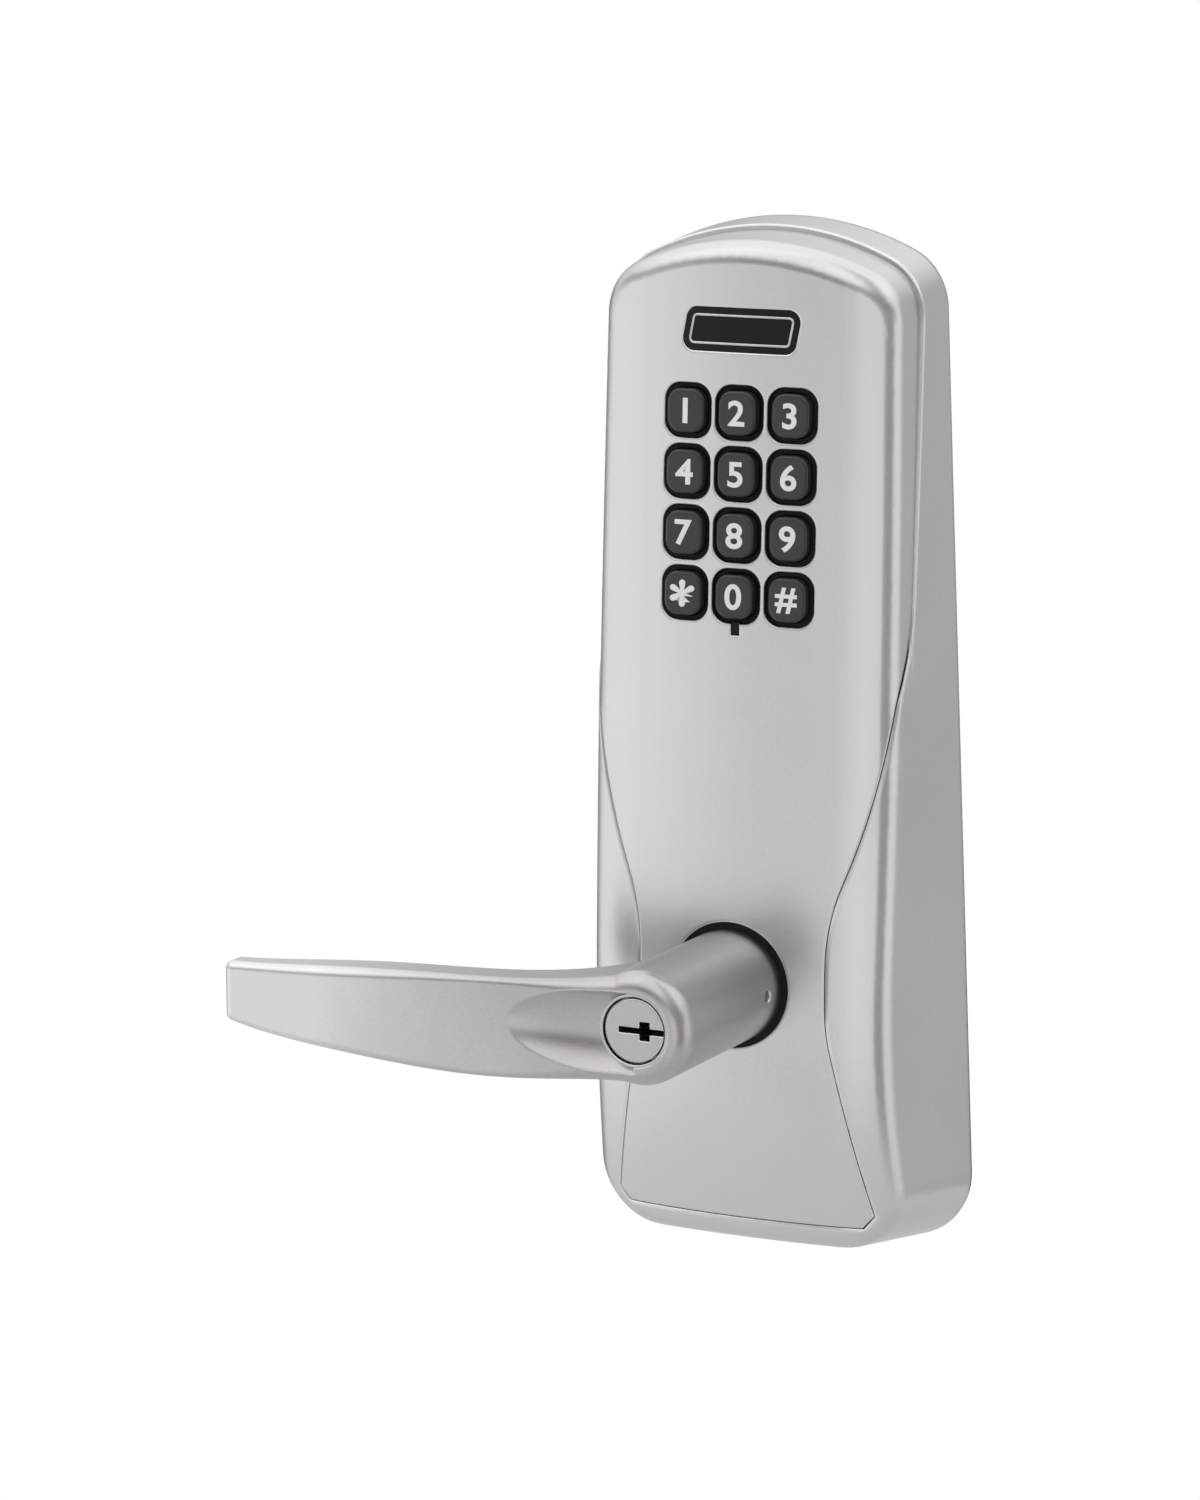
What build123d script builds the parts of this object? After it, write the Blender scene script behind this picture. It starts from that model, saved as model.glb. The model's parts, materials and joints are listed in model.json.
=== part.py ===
"""Keypad lever lock, outside half.

The lock is drawn face up: x to the right, y up the door, z out from the door.
The origin is the lever's axis on the door's face. At the end every piece is
stood up against the door, so that z runs towards the viewer.
All sizes are millimetres.
"""

import math
import os

from build123d import *

# Body outline on the door, measured from the lever's axis
top_reach = 182.3
bottom_reach = 68.0
half_width_top = 40.2
half_width_bottom = 48.2
arch_radius = 75.0
shoulder_radius = 15.5
foot_radius = 17.0

# The sides lean in towards the front, more at the foot than at the top
lean_depth = 30.0
lean_top = 2.9
lean_bottom = 2.5
lean_side_top = 0.2
lean_side_bottom = 8.4
loft_depth = 52.0

# Front face: it leans forward down to the lever, then rolls back to the foot
face_depth = 39.4
face_tilt = 2.8624
roll_start = 8.0
roll_radius = 240.0
roll_angle = 28.0
crown_radius = 190.0
crown_half = 26.0
crown_edge_radius = 45.0
crown_reach = 54.0
edge_radius = 5.6

# Housing shell
housing_wall = 3.0
housing_skin = 3.2
gasket_thickness = 1.0
gasket_inset = 0.5
gasket_width = 2.1

# Front cover: its rim steps in from the housing, and its lower half is waisted.
# Beside the waist the housing's ledge ramps up to the front as two wings.
cover_step = 1.2
cover_flare = 2.0
cover_wall = 2.4
cover_skin = 2.6
seam_gap = 0.3
ledge_top = 13.0
ledge_top_at = 180.0
ledge_foot = 22.0
ledge_foot_at = 85.0
ramp_start = 92.0
ramp_break = 5.0
ramp_radius = 80.0
ramp_turn = 40.0
lip_width = 0.35
waist_half = 24.8
waist_top = 6.0
waist_bottom = -9.7
waist_radius = 55.0
waist_turn = 22.0
apron_half = 34.5
apron_corner_y = -56.0
apron_bottom = -59.5
apron_chamfer = 3.0

# Web across the housing behind the lever
web_thickness = 3.0
web_top = 45.0

# Clearances
fit_gap = 0.02
run_gap = 0.06
slide_gap = 0.1
free_gap = 0.4

# Screws
screw_radius = 1.25
screw_head_radius = 2.4
screw_head_height = 1.9
screw_grip = 7.0
short_grip = 2.6
boss_wall = 1.85

# Keypad
key_pitch_x = 13.7
key_pitch_y = 14.6
key_row_drop = 44.2
well_width = 12.5
well_height = 13.1
well_radius = 4.2
well_sink = 1.5
well_edge = 0.35
cap_width = 9.7
cap_height = 10.5
cap_radius = 3.4
cap_gap = 0.3
cap_proud = 1.4
cap_edge = 0.8
flange_margin = 0.85
flange_thickness = 1.0
frame_sink = 3.9
frame_thickness = 1.5
frame_margin = 1.5
frame_foot = 5.0
frame_rim = 1.2
mat_thickness = 1.0
dome_height = 2.0
dome_radius_low = 3.6
dome_radius_high = 2.3
board_thickness = 1.6
board_half_width = 30.5
board_margin = 2.4
board_screw_x = 27.0
board_screw_drop = 3.3
board_screw_rise = 3.9
sounder_radius = 6.0
sounder_height = 3.4
socket_width = 11.0
socket_height = 6.0
socket_depth = 5.0
chip_side = 7.0
chip_height = 1.3

# Small slot for the indicator light below the lowest middle key
light_width = 2.2
light_height = 3.0
light_drop = 7.8
light_sink = 0.4
led_side = 1.8
led_height = 1.1

# Blank plate above the keys
plate_width = 30.0
plate_height = 10.6
plate_slant = 2.0
plate_corner = 3.0
plate_rise = 19.6
plate_thickness = 1.4
plate_sink = 0.2
trim_inset = 1.7
trim_width = 0.5
trim_depth = 0.8
trim_proud = 0.1

# Lever
hub_radius = 13.8
hub_wall = 2.8
hub_back = 36.5
hub_edge = 4.6
lever_front = 90.5
blade_corner = 2.2
tip_round = 1.8
scoop_x = -6.0
scoop_y = -0.9
scoop_long = 39.9
scoop_round = 14.5
scoop_depth = 4.0
ring_width = 1.7
ring_sink = 0.15
ring_flange = 2.0
ring_flange_thickness = 1.0
ring_flange_sink = 4.2

# Each station of the blade: place along x, top edge, bottom edge, thickness, corner radius
blade_stations = (
    (0.0, 13.6, -13.6, 30.0, hub_edge),
    (-12.0, 11.2, -13.5, 20.0, 3.4),
    (-24.0, 9.9, -14.4, 14.0, blade_corner),
    (-63.0, 8.1, -14.9, 11.6, blade_corner),
    (-95.0, 6.4, -11.8, 9.6, blade_corner),
    (-110.7, 5.9, -8.6, 8.0, blade_corner),
)

# Sleeve, bearing and return spring
sleeve_wall = 1.8
sleeve_back = 8.0
sleeve_front = 62.0
bearing_wall = 2.4
bearing_flange = 2.2
bearing_flange_thickness = 2.4
cage_gap = 1.0
cage_wall = 2.4
cage_height = 11.0
cage_base = 1.6
cage_screw_at = 14.8
cam_thickness = 2.0
cam_gap = 0.8
spring_wire = 0.7
spring_gap = 1.9
spring_turns = 4
spring_pitch = 1.55
clip_thickness = 1.0
clip_width = 2.0
clip_sink = 0.6
clip_mouth = 9.0

# Lever catch, pressed through the small hole in the lever's hub
catch_depth = 46.2
catch_radius = 1.3
catch_inset = 0.9
catch_head_radius = 2.2
catch_head = 0.9
leaf_thickness = 0.35
leaf_width = 3.0

# Key cylinder
shell_radius = 8.75
shell_sink = 4.6
plug_face_radius = 7.6
plug_face = 3.9
plug_radius = 5.6
plug_sink = 0.6
rim_wall = 0.55
rim_sink = 0.2
tail_radius = 4.0
tail_length = 3.6
tail_slot = 2.2
keyway_left = -4.2
keyway_height = 1.5
keyway_ward_x = 2.6
keyway_ward_width = 2.8
keyway_ward_height = 4.6
keyway_depth = 27.0
pin_count = 5
pin_pitch = 4.0
pin_radius = 1.05
pin_first = 5.0
pin_length = 2.2
tailpiece_width = 6.0
tailpiece_thickness = 1.8
plug_clip_width = 2.6
plug_clip_thickness = 0.9

# Clutch behind the web
drive_low = 2.5
drive_thickness = 4.0
drive_boss_radius = 8.9
drive_boss = 3.5
notch_depth = 2.6
clutch_wall = 4.5
collar_low = 9.6
collar_length = 6.0
groove_width = 2.0
groove_depth = 2.2
dog_width = 5.0
dog_length = 2.5
spline_width = 4.0
spline_depth = 1.2
spindle_side = 7.6
spindle_reach = 42.0
spindle_seat = 1.4
motor_y = 32.0
motor_radius = 5.2
motor_length = 11.0
motor_screw_radius = 1.4
motor_screw_low = 3.5
yoke_half_width = 17.0
yoke_foot = 3.0
yoke_head = 37.0
nut_radius = 4.0
nut_length = 5.0
guide_x = 12.0
guide_y = 24.0
guide_radius = 1.5
guide_low = 5.0
bracket_screw_x = 11.0
bracket_base = 1.6
bracket_height = 6.0
bracket_wall = 1.3
bracket_ear = 3.2

# Mounting plate at the door
back_plate = 2.0
back_plate_gap = 0.8
pilot_radius = 26.9
pilot_wall = 2.9
pilot_length = 6.0
wire_hole_radius = 8.0
wire_hole_y = 62.0
post_x = 30.0
post_low = -44.0
post_high = 130.0
post_radius = 4.2
post_length = 15.0
post_thread_radius = 2.1
post_thread_depth = 13.0
plate_screw_low_x = 38.5
plate_screw_low_y = -25.0
plate_screw_high_x = 36.0
plate_screw_high_y = 75.0
plate_screw_head = 1.2
plate_boss_high = 17.0

# Cover screws come through the web and, at the top, through a tab under the arch
cover_screw_high_x = 19.0
cover_screw_high_y = 37.0
cover_screw_low_x = 21.0
cover_screw_low_y = -46.0
tab_width = 16.0
tab_thickness = 3.0
tab_drop = 22.3
top_screw_rise = 6.0

# Values that follow from the sizes above
far = 4 * (top_reach + bottom_reach)
key_row_top = top_reach - key_row_drop
plate_row = key_row_top + plate_rise
tab_foot = top_reach - tab_drop
top_screw_y = tab_foot + top_screw_rise
panel = Pos(0, 0, face_depth) * Rot(-face_tilt, 0, 0)
web_back = ledge_foot - web_thickness
boss_radius = screw_radius + boss_wall
pilot_hole = screw_radius + fit_gap
screw_hole = screw_radius + slide_gap
sleeve_radius = hub_radius - hub_wall
sleeve_bore = sleeve_radius - sleeve_wall
ring_radius = hub_radius + ring_width
bearing_radius = sleeve_radius + bearing_wall
bearing_flange_radius = bearing_radius + bearing_flange
bearing_top = ledge_foot + bearing_flange_thickness
cage_inner = bearing_flange_radius + cage_gap
cage_outer = cage_inner + cage_wall
spring_radius = sleeve_radius + spring_gap + spring_wire
spring_low = bearing_top + spring_wire + slide_gap
spring_high = spring_low + spring_turns * spring_pitch
cam_low = spring_high + spring_wire + slide_gap
cam_radius = cage_inner - cam_gap
frame_back = frame_sink + frame_thickness
flange_back = frame_back + slide_gap + flange_thickness
mat_front = flange_back + dome_height
mat_back = mat_front + mat_thickness
board_back = mat_back + board_thickness
key_rows = [key_row_top - row * key_pitch_y for row in range(4)]
key_columns = [-key_pitch_x, 0.0, key_pitch_x]
frame_half_width = key_pitch_x + well_width / 2 + frame_margin
frame_high = key_row_top + well_height / 2 + frame_margin
frame_low = key_rows[-1] - well_height / 2 - frame_foot
frame_middle = (frame_high + frame_low) / 2
board_high = frame_high + board_margin
board_low = frame_low - board_margin
board_screw_rows = (key_rows[-1] - board_screw_drop, key_row_top + board_screw_rise)
board_screw_spots = [(x, y) for x in (-board_screw_x, board_screw_x) for y in board_screw_rows]
light_row = key_rows[-1] - light_drop
shell_front = lever_front - shell_sink
shell_back = sleeve_front + slide_gap
plug_front = lever_front - plug_sink
tail_back = shell_back - tail_length
drive_high = drive_low + drive_thickness
drive_radius = sleeve_radius + clutch_wall
collar_high = collar_low + collar_length
groove_low = collar_low + (collar_length - groove_width) / 2
groove_high = groove_low + groove_width
groove_floor = drive_radius - groove_depth
cover_screw_spots = [
    (side * x, y)
    for side in (-1, 1)
    for x, y in ((cover_screw_high_x, cover_screw_high_y), (cover_screw_low_x, cover_screw_low_y))
]
plate_screw_spots = [
    (side * x, y)
    for side in (-1, 1)
    for x, y in ((plate_screw_low_x, plate_screw_low_y), (plate_screw_high_x, plate_screw_high_y))
]
post_spots = [(x, y) for x in (-post_x, post_x) for y in (post_low, post_high)]
ledge_slope = (ledge_top - ledge_foot) / (ledge_top_at - ledge_foot_at)
tab_high = ledge_foot + ledge_slope * (tab_foot - ledge_foot_at) - tab_thickness
cage_spots = [(cage_screw_at, -cage_screw_at), (-cage_screw_at, cage_screw_at)]
bracket_spots = [(-bracket_screw_x, motor_y), (bracket_screw_x, motor_y)]


def disc(radius, low, high, x=0.0, y=0.0):
    """Round bar square to the door, from one depth to another."""
    return Pos(x, y, (low + high) / 2) * Cylinder(radius, high - low)


def tube(outer, inner, low, high, x=0.0, y=0.0):
    """Round pipe square to the door."""
    return disc(outer, low, high, x, y) - disc(inner, low, high, x, y)


def block(width, height, low, high, x=0.0, y=0.0):
    """Square bar square to the door."""
    return Pos(x, y, (low + high) / 2) * Box(width, height, high - low)


def rod(radius, start, end, z):
    """Round bar along x at a depth."""
    return Pos((start + end) / 2, 0, z) * Rot(0, 90, 0) * Cylinder(radius, end - start)


def screw(low, high, head_at_low=True, x=0.0, y=0.0):
    """Screw with a flat round head, its shank from low to high."""
    shank = disc(screw_radius, low, high, x, y)
    if head_at_low:
        return shank + disc(screw_head_radius, low - screw_head_height, low, x, y)
    return shank + disc(screw_head_radius, high, high + screw_head_height, x, y)


def pad(sketch, low, high, x=0.0, y=0.0):
    """Sketch raised square to the keypad panel, low and high counted out from its face."""
    return panel * Pos(x, y, low) * extrude(sketch, amount=high - low)


def group(pieces):
    """Several separate solids in one node."""
    return Compound(children=[solid for piece in pieces for solid in piece.solids()])


def save(name, shape):
    """Stand a piece up against the door and write it."""
    export_step(Plane.XZ * shape, f"parts/{name}.step")
    print(name, len(shape.solids()), round(shape.volume, 1))


# Outlines and the crowned front


def side_ends(depth, inset, flare=0.0):
    """Lower and upper end of the straight right side, and the arch's top; flare widens the lower end."""
    share = depth / lean_depth
    top = top_reach - lean_top * share - inset
    bottom = -bottom_reach + lean_bottom * share + inset
    wide_top = half_width_top - lean_side_top * share - inset
    wide_bottom = half_width_bottom + flare - lean_side_bottom * share - inset
    arch = arch_radius - inset
    spring = top - arch + math.sqrt(arch**2 - wide_top**2)
    return (wide_bottom, bottom), (wide_top, spring), top


def side_half(y, depth):
    """Half the body's width between its straight sides, at a height and a depth."""
    (wide_bottom, bottom), (wide_top, spring), top = side_ends(depth, 0)
    return wide_bottom + (wide_top - wide_bottom) * (y - bottom) / (spring - bottom)


def outline(depth, inset, flare=0.0):
    """Outline of the body at a depth, with its edge moved in by inset and its foot out by flare."""
    (wide_bottom, bottom), (wide_top, spring), top = side_ends(depth, inset, flare)
    base = Line((-wide_bottom, bottom), (wide_bottom, bottom))
    right = Line((wide_bottom, bottom), (wide_top, spring))
    over = ThreePointArc((wide_top, spring), (0, top), (-wide_top, spring))
    left = Line((-wide_top, spring), (-wide_bottom, bottom))
    shape = make_face([base, right, over, left])
    shape = fillet(shape.vertices().sort_by(Axis.Y)[:2], foot_radius - inset)
    return fillet(shape.vertices().sort_by(Axis.Y)[4:], shoulder_radius - inset)


def leaning_block(inset, flare=0.0):
    """The body's sides as one tall block that leans in towards the front."""
    foot = outline(0, inset, flare)
    head = Pos(0, 0, loft_depth) * outline(loft_depth, inset, flare)
    return loft([foot.face(), head.face()], ruled=True)


def crown_block(sink):
    """Everything behind the crowned front face, which is moved in by sink."""
    turn_mid = math.asin(crown_half / crown_radius)
    turn_edge = math.asin((crown_reach - crown_half) / crown_edge_radius + math.sin(turn_mid)) - turn_mid
    middle = JernArc((0, 0), (1, 0), crown_radius, -math.degrees(turn_mid))
    edge = JernArc(middle @ 1, middle % 1, crown_edge_radius, -math.degrees(turn_edge))
    corner = edge @ 1
    deep = -face_depth - loft_depth
    wall = Line(corner, (corner.X, deep))
    floor = Line((corner.X, deep), (0, deep))
    spine = Line((0, deep), (0, 0))
    half = make_face([middle, edge, wall, floor, spine])
    section = half + mirror(half, Plane.YZ)
    tilt = math.radians(face_tilt)
    start = Vector(0, roll_start, face_depth - roll_start * math.tan(tilt) - sink)
    down = Vector(0, -math.cos(tilt), math.sin(tilt))
    out = Vector(0, math.sin(tilt), math.cos(tilt))
    section = Plane(origin=start, x_dir=(1, 0, 0), z_dir=down) * section
    upper = extrude(section, amount=far, dir=-down)
    lower = revolve(section, Axis(start - out * roll_radius, (1, 0, 0)), revolution_arc=roll_angle)
    return upper + lower


def crown_sag(x):
    """How far the crowned front falls away at x from the middle."""
    return crown_radius - math.sqrt(crown_radius**2 - x**2)


def cover_prism(gap):
    """Front outline of the cover, waisted at the lever and past the sides above the wings, run through."""
    half = waist_half - gap
    apron = apron_half - gap
    sole_y = apron_bottom + gap
    upright = Line((half, waist_bottom), (half, waist_top))
    bend = JernArc(upright @ 1, (0, 1), waist_radius, -waist_turn)
    wing_half = side_half(ramp_start, ledge_depth(ramp_start)) - lip_width - gap
    swoosh_radius = (wing_half - (bend @ 1).X) / (1 - math.cos(math.radians(waist_turn)))
    swoosh = JernArc(bend @ 1, bend % 1, swoosh_radius, waist_turn)
    wing_top = max(ramp_start, (swoosh @ 1).Y) + lip_width
    reach = Line(swoosh @ 1, (wing_half, wing_top))
    past = reach @ 1 + Vector(far, far)
    out = Line(reach @ 1, past)
    lid = Line(past, (0, past.Y))
    spine = Line((0, past.Y), (0, sole_y))
    sole = Line((0, sole_y), (apron - apron_chamfer, sole_y))
    toe = Line((apron - apron_chamfer, sole_y), (apron, apron_corner_y))
    flare = Line((apron, apron_corner_y), (half, waist_bottom))
    side = make_face([upright, bend, swoosh, reach, out, lid, spine, sole, toe, flare])
    knee = side.vertices().sort_by_distance((half, waist_bottom))[0]
    side = fillet(knee, waist_radius)
    return extrude(side + mirror(side, Plane.YZ), amount=2 * loft_depth)


def ledge_depth(y):
    """Depth of the sloping ledge at a height."""
    return ledge_foot + ledge_slope * (y - ledge_foot_at)


def in_front_of_ledge():
    """Space in front of the ledge that the cover stands on."""
    foot = (ledge_foot_at, ledge_foot)
    points = (foot, (far, ledge_depth(far)), (far, far), (-far, far), (-far, ledge_foot))
    profile = make_face(Polyline(*points, close=True))
    return extrude(Plane.YZ * profile, amount=far, both=True)


def in_front_of_ramp():
    """Space in front of the ledge and of the ramp that takes it up to the front beside the waist."""
    start = Vector(ramp_start, ledge_depth(ramp_start))
    ledge = Line((far, ledge_depth(far)), start)
    rise = ramp_break - math.degrees(math.atan(ledge_slope))
    ramp = JernArc(start, Vector(-1, 0).rotate(Axis.Z, -rise), ramp_radius, -ramp_turn)
    out = Line(ramp @ 1, ((ramp @ 1).X, far))
    lid = Line(out @ 1, (far, far))
    wall = Line((far, far), (far, ledge_depth(far)))
    return extrude(Plane.YZ * make_face([ledge, ramp, out, lid, wall]), amount=far, both=True)


def front_rim(shape):
    """Edges round the crowned front of a block."""
    steep = math.cos(math.radians(50))
    edges = [edge for face in shape.faces() if face.normal_at().Z > steep for edge in face.edges()]
    return [edge for edge in edges if sum(edge.is_same(other) for other in edges) == 1]


def body_shape(inset, flare=0.0):
    """Outer shape of the body with its front edge rounded."""
    shape = leaning_block(inset, flare) & crown_block(0)
    return fillet(front_rim(shape), edge_radius)


def plate_face(inset):
    """Slanted rounded outline of the blank plate, moved in by inset."""
    wide = plate_width / 2 - inset
    tall = plate_height / 2 - inset
    lean = plate_slant / 2 * tall / (plate_height / 2)
    corners = ((-wide - lean, -tall), (wide - lean, -tall), (wide + lean, tall), (-wide + lean, tall))
    shape = make_face(Polyline(*corners, close=True))
    return fillet(shape.vertices(), plate_corner - inset)


def well_face(margin):
    """Outline of one key well, grown by margin."""
    return RectangleRounded(well_width + 2 * margin, well_height + 2 * margin, well_radius + margin)


def cap_face(margin):
    """Outline of one key cap, grown by margin."""
    return RectangleRounded(cap_width + 2 * margin, cap_height + 2 * margin, cap_radius + margin)


# Housing and front cover


def make_housing():
    """Outer shell with the ledge, the web, and the bosses at its back."""
    body = body_shape(0) - in_front_of_ramp()
    body -= cover_prism(0) & in_front_of_ledge()
    body -= leaning_block(housing_wall) & crown_block(housing_skin)
    inner = leaning_block(housing_wall / 2)
    body += inner & block(far, far, web_back, ledge_foot, 0, web_top - far / 2)
    body += inner & block(tab_width, far, tab_high - tab_thickness, tab_high, 0, tab_foot + far / 2)
    for x, y in plate_screw_spots:
        body += disc(boss_radius, back_plate, plate_boss_high, x, y)
    for side in (-1, 1):
        body += disc(guide_radius, guide_low, web_back, side * guide_x, guide_y)
    body -= block(far, far, -far, gasket_thickness)
    body -= disc(bearing_radius + fit_gap, web_back, ledge_foot)
    body -= disc(motor_screw_radius + free_gap, web_back, ledge_foot, 0, motor_y)
    for x, y in plate_screw_spots:
        body -= disc(pilot_hole, back_plate, back_plate + screw_grip, x, y)
    for x, y in cover_screw_spots:
        body -= disc(screw_hole, web_back, ledge_foot, x, y)
    body -= disc(screw_hole, tab_high - tab_thickness, tab_high, 0, top_screw_y)
    for x, y in cage_spots + bracket_spots:
        body -= disc(pilot_hole, ledge_foot - short_grip, ledge_foot, x, y)
    return body


def on_well_rim(edge):
    """True for an edge where a key well meets the cover's front."""
    middle = (panel.inverse() * Location(edge @ 0.5)).position
    across = min(abs(middle.X - column) for column in key_columns)
    along = min(abs(middle.Y - row) for row in key_rows)
    in_well = across < (well_width + slide_gap) / 2 and along < (well_height + slide_gap) / 2
    level = abs((edge @ 0).Z - (edge @ 1).Z) < cover_skin / 2
    return in_well and level and middle.Z > -well_sink


def make_front_cover():
    """Front shell with the wells, the plate's recess, the hub's hole and its bosses."""
    zone = cover_prism(seam_gap) & in_front_of_ledge()
    body = body_shape(cover_step, cover_flare) & zone
    hollow = leaning_block(cover_step + cover_wall, cover_flare) & crown_block(cover_skin)
    body -= hollow & cover_prism(seam_gap + cover_wall)
    for column in key_columns:
        for row in key_rows:
            body -= pad(well_face(0), -board_back, board_back, column, row)
    body = fillet([edge for edge in body.edges() if on_well_rim(edge)], well_edge)
    body -= disc(ring_radius + fit_gap, 0, far)
    skin = crown_block(cover_skin / 2)
    for x, y in cover_screw_spots:
        body += disc(boss_radius, ledge_foot, far / 2, x, y) & skin
    body += disc(boss_radius, tab_high, far / 2, 0, top_screw_y) & skin
    for x, y in board_screw_spots:
        boss = pad(Circle(boss_radius), -mat_back, board_back, x, y) & skin
        body += boss - pad(Circle(pilot_hole), -mat_back, short_grip - mat_back, x, y)
    for x, y in cover_screw_spots:
        body -= disc(pilot_hole, ledge_foot, ledge_foot + screw_grip, x, y)
    body -= disc(pilot_hole, tab_high, tab_high + screw_grip, 0, top_screw_y)
    body -= pad(plate_face(-fit_gap), -plate_thickness - plate_sink, board_back, 0, plate_row)
    light = Rectangle(light_width + 2 * slide_gap, light_height + 2 * slide_gap)
    body -= pad(light, -frame_back, board_back, 0, light_row)
    return body


def make_hub_ring():
    """Black ring round the lever's hub, held by a flange behind the cover's skin."""
    flange_high = face_depth - ring_flange_sink
    flange_low = flange_high - ring_flange_thickness
    inner = hub_radius + run_gap
    collar = tube(ring_radius, inner, flange_low, far / 2) & crown_block(ring_sink)
    return collar + tube(ring_radius + ring_flange, inner, flange_low, flange_high)


def make_name_plate(trim):
    """Blank plate above the keys, with the groove that its trim lies in."""
    plate = pad(plate_face(0), -plate_thickness - plate_sink, board_back, 0, plate_row)
    return (plate & crown_block(plate_sink)) - trim


def make_plate_trim():
    """Thin bright line let into the blank plate."""
    ring = plate_face(trim_inset) - plate_face(trim_inset + trim_width)
    line = pad(ring, -trim_depth - plate_sink, board_back, 0, plate_row)
    return line & crown_block(plate_sink - trim_proud)


# Keypad


def make_keypad_frame():
    """Frame behind the cover with a collar in each well, a rim at its edge and a hole for the light."""
    width = 2 * frame_half_width
    height = frame_high - frame_low
    face = Rectangle(width, height)
    ring = face - Rectangle(width - 2 * frame_rim, height - 2 * frame_rim)
    body = pad(face, -frame_back, -frame_sink, 0, frame_middle)
    body += pad(ring, -mat_front, -frame_back, 0, frame_middle)
    for column in key_columns:
        for row in key_rows:
            body += pad(well_face(-slide_gap), -frame_back, -well_sink, column, row)
    for column in key_columns:
        for row in key_rows:
            body -= pad(cap_face(cap_gap), -mat_front, board_back, column, row)
    light = Rectangle(light_width + 2 * slide_gap, light_height + 2 * slide_gap)
    return body - pad(light, -mat_front, board_back, 0, light_row)


def make_key(column, row):
    """One push key: a rounded cap on a stem, with a flange that stops it under the frame."""
    top = cap_proud - crown_sag(column)
    cap = extrude(cap_face(0), amount=top + flange_back)
    cap = fillet(cap.faces().sort_by(Axis.Z)[-1].edges(), cap_edge)
    cap += extrude(cap_face(flange_margin), amount=flange_thickness)
    return panel * Pos(column, row, -flange_back) * cap


def make_key_mat():
    """Rubber sheet with a bubble under each key and a hole for the light."""
    sheet = Rectangle(2 * frame_half_width, frame_high - frame_low)
    body = pad(sheet, -mat_back, -mat_front, 0, frame_middle)
    middle = -mat_front + (dome_height - fit_gap) / 2
    for column in key_columns:
        for row in key_rows:
            dome = Cone(dome_radius_low, dome_radius_high, dome_height - fit_gap)
            body += panel * Pos(column, row, middle) * dome
    hole = Rectangle(light_width + 2 * free_gap, light_height + 2 * free_gap)
    return body - pad(hole, -mat_back, -mat_front, 0, light_row)


def make_keypad_board():
    """Circuit board behind the mat."""
    face = Rectangle(2 * board_half_width, board_high - board_low)
    board = pad(face, -board_back, -mat_back, 0, (board_high + board_low) / 2)
    for x, y in board_screw_spots:
        board -= pad(Circle(screw_hole), -board_back, -mat_back, x, y)
    return board


def make_board_screws():
    """Four screws that hold the board to the cover's bosses."""
    high = short_grip - mat_back
    shank = [pad(Circle(screw_radius), -board_back, high, x, y) for x, y in board_screw_spots]
    low = -board_back - screw_head_height
    heads = [pad(Circle(screw_head_radius), low, -board_back, x, y) for x, y in board_screw_spots]
    return group([a + b for a, b in zip(shank, heads)])


def make_sounder():
    """Round sounder on the back of the board."""
    low = -board_back - sounder_height
    can = pad(Circle(sounder_radius), low, -board_back, key_pitch_x, key_rows[1])
    return can - pad(Circle(sounder_radius / 6), low, low + sounder_height / 3, key_pitch_x, key_rows[1])


def make_cable_socket():
    """Socket on the back of the board for the lead from the inside half."""
    low = -board_back - socket_depth
    box = pad(Rectangle(socket_width, socket_height), low, -board_back, 0, key_rows[3])
    wall = socket_height / 6
    mouth = Rectangle(socket_width - 2 * wall, socket_height - 2 * wall)
    return box - pad(mouth, low, -board_back - wall, 0, key_rows[3])


def make_board_chips():
    """Two flat chips on the back of the board."""
    low = -board_back - chip_height
    square = Rectangle(chip_side, chip_side)
    spots = ((-key_pitch_x, key_rows[1]), (-key_pitch_x, key_rows[2]))
    return group([pad(square, low, -board_back, x, y) for x, y in spots])


def make_indicator_led():
    """Small light on the board behind the slot."""
    return pad(Rectangle(led_side, led_side), -mat_back, led_height - mat_back, 0, light_row)


def make_indicator_window():
    """Dark light guide from the light to the slot in the cover."""
    face = Rectangle(light_width, light_height)
    return pad(face, led_height - mat_back, -light_sink, 0, light_row)


# Lever, its sleeve and its spring


def blade_section(place, top, bottom, thickness, corner):
    """Rounded section of the blade, with its front on the lever's front plane."""
    centre = (place, (top + bottom) / 2, lever_front - thickness / 2)
    plane = Plane(origin=centre, x_dir=(0, 1, 0), z_dir=(-1, 0, 0))
    return plane * RectangleRounded(top - bottom, thickness, corner)


def make_lever_handle():
    """Hub and blade in one casting, bored for the sleeve and for the key cylinder."""
    blade = loft([blade_section(*station).face() for station in blade_stations])
    blade = fillet(blade.faces().sort_by(Axis.X)[0].edges(), tip_round)
    hub = disc(hub_radius, hub_back, lever_front)
    hub = fillet(hub.edges().sort_by(Axis.Z)[-1], hub_edge)
    body = blade + hub
    rise = scoop_round - scoop_depth
    upper_half = Pos(0, scoop_round) * Rectangle(2 * scoop_long, 2 * scoop_round)
    egg = revolve(Ellipse(scoop_long, scoop_round) & upper_half, Axis.X)
    egg = Pos(scoop_x, scoop_y, lever_front + rise) * egg
    body -= egg & block(far, far, 0, far, -far / 2)
    body -= disc(sleeve_radius + fit_gap, hub_back, sleeve_front + slide_gap)
    body -= disc(shell_radius + fit_gap, sleeve_front, lever_front)
    return body - rod(catch_radius + slide_gap, 0, hub_radius, catch_depth)


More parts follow.
